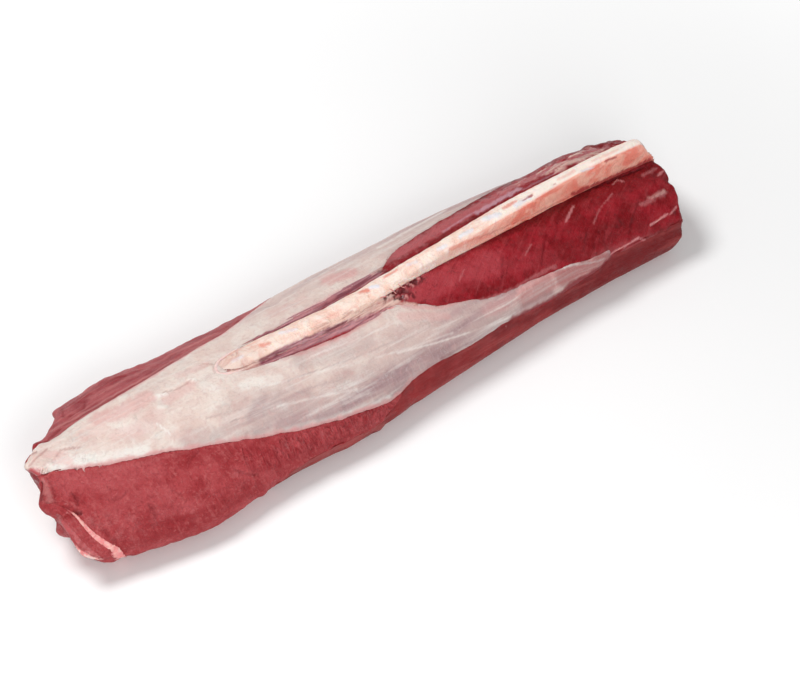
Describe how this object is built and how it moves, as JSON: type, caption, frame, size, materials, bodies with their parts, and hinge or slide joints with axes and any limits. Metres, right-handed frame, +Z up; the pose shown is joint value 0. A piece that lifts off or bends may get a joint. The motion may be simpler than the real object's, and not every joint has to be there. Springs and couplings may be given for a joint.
{
  "type": "bone-in venison saddle",
  "caption": "Long raw venison saddle on the bone, tapering muscles on both sides of a crest of bone, pearly silverskin over its back and thicker at its rump end.",
  "frame": {"origin": "middle of the underside, on the surface that the saddle lies on, under the centre of its bounding box", "axes": "+X along the backbone towards the rib end, +Z up through the crest of the backbone, -Y towards the wider near side"},
  "size_m": [0.693, 0.1926, 0.1002],
  "materials": {
    "bone": "moist cut bone and cartilage, cream with pink flecks",
    "loin_meat": "wet deep red lean meat with fine grain",
    "rump_meat": "soft medium red lean meat with a fine crumbly grain",
    "flank_meat": "thin moist red-brown lean meat",
    "silverskin": "pearly thin connective tissue with fine fibres",
    "fat": "soft cream and pink fat"
  },
  "bodies": {
    "root": {"backbone": "bone", "loin_near": "loin_meat", "loin_far": "loin_meat", "rump_near": "rump_meat", "rump_far": "rump_meat", "rump_flap": "rump_meat", "fat_seam": "fat", "fat_rim": "fat", "flank_near": "flank_meat", "flank_far": "flank_meat", "silverskin": "silverskin", "tendon_knob": "fat"}
  },
  "joints": []
}
